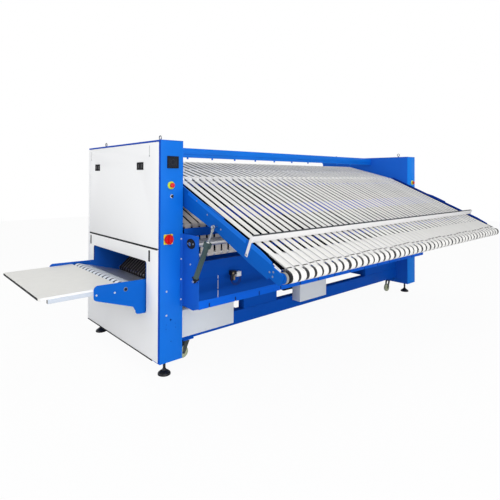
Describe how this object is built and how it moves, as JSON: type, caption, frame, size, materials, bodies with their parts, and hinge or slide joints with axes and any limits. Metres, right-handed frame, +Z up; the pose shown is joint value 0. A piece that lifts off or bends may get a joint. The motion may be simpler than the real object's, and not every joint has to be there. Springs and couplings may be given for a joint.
{
  "type": "laundry folding machine",
  "caption": "Flatwork laundry folding machine with a tilting belt feed table between towers, a cross delivery conveyor and a receiving shelf.",
  "frame": {"origin": "centre of the whole machine's box on the floor plane", "axes": "+X along the machine from the control tower, +Y from the feed side to the back, +Z up"},
  "size_m": [4.845, 2.6098, 1.9335],
  "materials": {
    "blue_paint": "gloss",
    "deep_blue_paint": "gloss",
    "white_paint": "satin",
    "grey_paint": "satin",
    "cylinder_grey": "satin",
    "belt_cream": "matte",
    "belt_taupe": "matte",
    "belt_dark": "matte",
    "belt_delivery": "matte",
    "steel": "satin",
    "black_metal": "satin",
    "black_plastic": "satin",
    "screen": "gloss",
    "yellow_plastic": "satin",
    "red_plastic": "gloss",
    "shelf_white": "satin",
    "caster_grey": "satin",
    "wheel_cream": "satin"
  },
  "bodies": {
    "frame": {"left_tower_shell": "blue_paint", "right_tower_shell": "blue_paint", "left_lower_cover": "white_paint", "side_and_rear_covers": "white_paint", "top_beam": "blue_paint", "base_frame": "deep_blue_paint", "lower_rail": "blue_paint", "lower_cross_panels": "deep_blue_paint", "tilt_brackets": "blue_paint", "flange_bearings": "black_metal", "electrical_boxes": "grey_paint", "drive_motors": "black_metal", "drive_belt": "belt_dark", "belt_support_bars": "steel", "upper_belts": "belt_cream", "lower_belts": "belt_taupe", "delivery_plates": "blue_paint", "delivery_bed": "steel", "delivery_belts": "belt_delivery", "receiving_shelf": "shelf_white", "discharge_belts": "belt_dark", "air_unit": "black_plastic", "caster_plates": "deep_blue_paint", "rear_caster_forks": "caster_grey", "touch_screen": "screen", "control_backplates": "yellow_plastic", "frame_fasteners": "steel"},
    "feed_table": {"table_side_plates": "blue_paint", "table_cross_bars": "steel", "guide_bar": "white_paint", "table_fasteners": "steel", "table_belts": "belt_cream"},
    "front_roller": {"front_roller": "steel"},
    "kink_roller": {"kink_roller": "steel"},
    "top_roller": {"top_roller": "steel"},
    "motor_pulley": {"motor_pulley": "steel"},
    "lower_roller": {"lower_roller": "steel"},
    "lower_drive_roller": {"lower_drive_roller": "steel"},
    "delivery_nose_roller": {"delivery_nose_roller": "steel"},
    "left_barrel": {"left_cylinder_barrel": "cylinder_grey"},
    "left_rod": {"left_cylinder_rod": "steel"},
    "right_barrel": {"right_cylinder_barrel": "cylinder_grey"},
    "right_rod": {"right_cylinder_rod": "steel"},
    "side_door": {"left_side_door": "white_paint"},
    "front_latch": {"front_door_latch": "black_plastic"},
    "rear_latch": {"rear_door_latch": "black_plastic"},
    "left_caster": {"left_caster_fork": "caster_grey"},
    "right_caster": {"right_caster_fork": "caster_grey"},
    "front_left_wheel": {"front_left_wheel": "wheel_cream"},
    "front_right_wheel": {"front_right_wheel": "wheel_cream"},
    "rear_left_wheel": {"rear_left_wheel": "wheel_cream"},
    "rear_right_wheel": {"rear_right_wheel": "wheel_cream"},
    "front_left_foot": {"front_left_foot": "black_plastic"},
    "front_right_foot": {"front_right_foot": "black_plastic"},
    "rear_left_foot": {"rear_left_foot": "black_plastic"},
    "rear_right_foot": {"rear_right_foot": "black_plastic"},
    "left_stop_button": {"left_stop_button": "red_plastic"},
    "right_stop_button": {"right_stop_button": "red_plastic"},
    "selector_knob": {"selector_knob": "black_plastic"},
    "main_switch_knob": {"main_switch_knob": "red_plastic"}
  },
  "joints": [
    {"name": "table_tilt", "type": "hinge", "parent": "frame", "child": "feed_table", "pos_m": [0.406, 0.06368, 1.55065], "axis": [-1, 0, 0], "range_deg": [-3, 8]},
    {"name": "kink_roller_spin", "type": "hinge", "parent": "frame", "child": "kink_roller", "pos_m": [0.406, 0.06368, 1.55065], "axis": [1, 0, 0], "continuous": true},
    {"name": "front_roller_spin", "type": "hinge", "parent": "feed_table", "child": "front_roller", "pos_m": [0.406, -1.26378, 0.96473], "axis": [1, 0, 0], "continuous": true},
    {"name": "top_roller_spin", "type": "hinge", "parent": "frame", "child": "top_roller", "pos_m": [0.406, 0.74997, 1.71051], "axis": [1, 0, 0], "continuous": true},
    {"name": "motor_pulley_spin", "type": "hinge", "parent": "frame", "child": "motor_pulley", "pos_m": [-1.4055, 0.99092, 1.25], "axis": [1, 0, 0], "continuous": true},
    {"name": "lower_roller_spin", "type": "hinge", "parent": "frame", "child": "lower_roller", "pos_m": [0.406, -0.27908, 1.062], "axis": [1, 0, 0], "continuous": true},
    {"name": "lower_drive_roller_spin", "type": "hinge", "parent": "frame", "child": "lower_drive_roller", "pos_m": [0.406, -0.08308, 0.93], "axis": [1, 0, 0], "continuous": true},
    {"name": "delivery_nose_roller_spin", "type": "hinge", "parent": "frame", "child": "delivery_nose_roller", "pos_m": [-1.7825, 0.61342, 0.7], "axis": [0, 1, 0], "continuous": true},
    {"name": "left_barrel_swing", "type": "hinge", "parent": "frame", "child": "left_barrel", "pos_m": [-1.4305, -0.36708, 0.787], "axis": [-1, 0, 0], "range_deg": [-0.5, 1.25]},
    {"name": "left_rod_slide", "type": "slide", "parent": "left_barrel", "child": "left_rod", "axis": [0, -0.4797, 0.8774], "range_m": [-0.04, 0.105]},
    {"name": "right_barrel_swing", "type": "hinge", "parent": "frame", "child": "right_barrel", "pos_m": [2.2425, -0.36708, 0.787], "axis": [-1, 0, 0], "range_deg": [-0.5, 1.25]},
    {"name": "right_rod_slide", "type": "slide", "parent": "right_barrel", "child": "right_rod", "axis": [0, -0.4797, 0.8774], "range_m": [-0.04, 0.105]},
    {"name": "side_door_hinge", "type": "hinge", "parent": "frame", "child": "side_door", "pos_m": [-1.606, 0.57292, 1.031], "axis": [0, -1, 0], "range_deg": [0, 85]},
    {"name": "front_latch_hinge", "type": "hinge", "parent": "side_door", "child": "front_latch", "pos_m": [-1.6075, 0.18292, 1.703], "axis": [0, 1, 0], "range_deg": [0, 35]},
    {"name": "rear_latch_hinge", "type": "hinge", "parent": "side_door", "child": "rear_latch", "pos_m": [-1.6075, 1.08092, 1.703], "axis": [0, 1, 0], "range_deg": [0, 35]},
    {"name": "left_caster_swivel", "type": "hinge", "parent": "frame", "child": "left_caster", "pos_m": [-1.2405, 0.04092, 0.18], "axis": [0, 0, 1], "continuous": true},
    {"name": "front_left_wheel_spin", "type": "hinge", "parent": "left_caster", "child": "front_left_wheel", "pos_m": [-1.2725, 0.04092, 0.084], "axis": [0, 1, 0], "continuous": true},
    {"name": "rear_left_wheel_spin", "type": "hinge", "parent": "frame", "child": "rear_left_wheel", "pos_m": [-1.2725, 1.21892, 0.084], "axis": [0, 1, 0], "continuous": true},
    {"name": "right_caster_swivel", "type": "hinge", "parent": "frame", "child": "right_caster", "pos_m": [2.0525, 0.04092, 0.18], "axis": [0, 0, 1], "continuous": true},
    {"name": "front_right_wheel_spin", "type": "hinge", "parent": "right_caster", "child": "front_right_wheel", "pos_m": [2.0205, 0.04092, 0.084], "axis": [0, 1, 0], "continuous": true},
    {"name": "rear_right_wheel_spin", "type": "hinge", "parent": "frame", "child": "rear_right_wheel", "pos_m": [2.0205, 1.21892, 0.084], "axis": [0, 1, 0], "continuous": true},
    {"name": "front_left_foot_height", "type": "slide", "parent": "frame", "child": "front_left_foot", "axis": [0, 0, -1], "range_m": [0, 0.03]},
    {"name": "front_right_foot_height", "type": "slide", "parent": "frame", "child": "front_right_foot", "axis": [0, 0, -1], "range_m": [0, 0.03]},
    {"name": "rear_left_foot_height", "type": "slide", "parent": "frame", "child": "rear_left_foot", "axis": [0, 0, -1], "range_m": [0, 0.03]},
    {"name": "rear_right_foot_height", "type": "slide", "parent": "frame", "child": "rear_right_foot", "axis": [0, 0, -1], "range_m": [0, 0.03]},
    {"name": "left_stop_press", "type": "slide", "parent": "frame", "child": "left_stop_button", "axis": [0, 1, 0], "range_m": [0, 0.005], "stiffness_N_per_m": 1000},
    {"name": "right_stop_press", "type": "slide", "parent": "frame", "child": "right_stop_button", "axis": [0, 1, 0], "range_m": [0, 0.005], "stiffness_N_per_m": 1000},
    {"name": "selector_turn", "type": "hinge", "parent": "frame", "child": "selector_knob", "pos_m": [-1.5105, -0.15908, 1.435], "axis": [0, 1, 0], "range_deg": [-45, 45]},
    {"name": "main_switch_turn", "type": "hinge", "parent": "frame", "child": "main_switch_knob", "pos_m": [-1.5425, -0.15908, 1.097], "axis": [0, 1, 0], "range_deg": [0, 90]}
  ],
  "couplings": [
    {"joint": "left_barrel_swing", "follows": "table_tilt", "ratio": 0.125},
    {"joint": "right_barrel_swing", "follows": "table_tilt", "ratio": 0.125},
    {"joint": "left_rod_slide", "follows": "table_tilt", "m_per_rad": 0.74484},
    {"joint": "right_rod_slide", "follows": "table_tilt", "m_per_rad": 0.74484},
    {"joint": "kink_roller_spin", "follows": "front_roller_spin", "ratio": 1.2667},
    {"joint": "motor_pulley_spin", "follows": "top_roller_spin", "ratio": 1.3333}
  ]
}
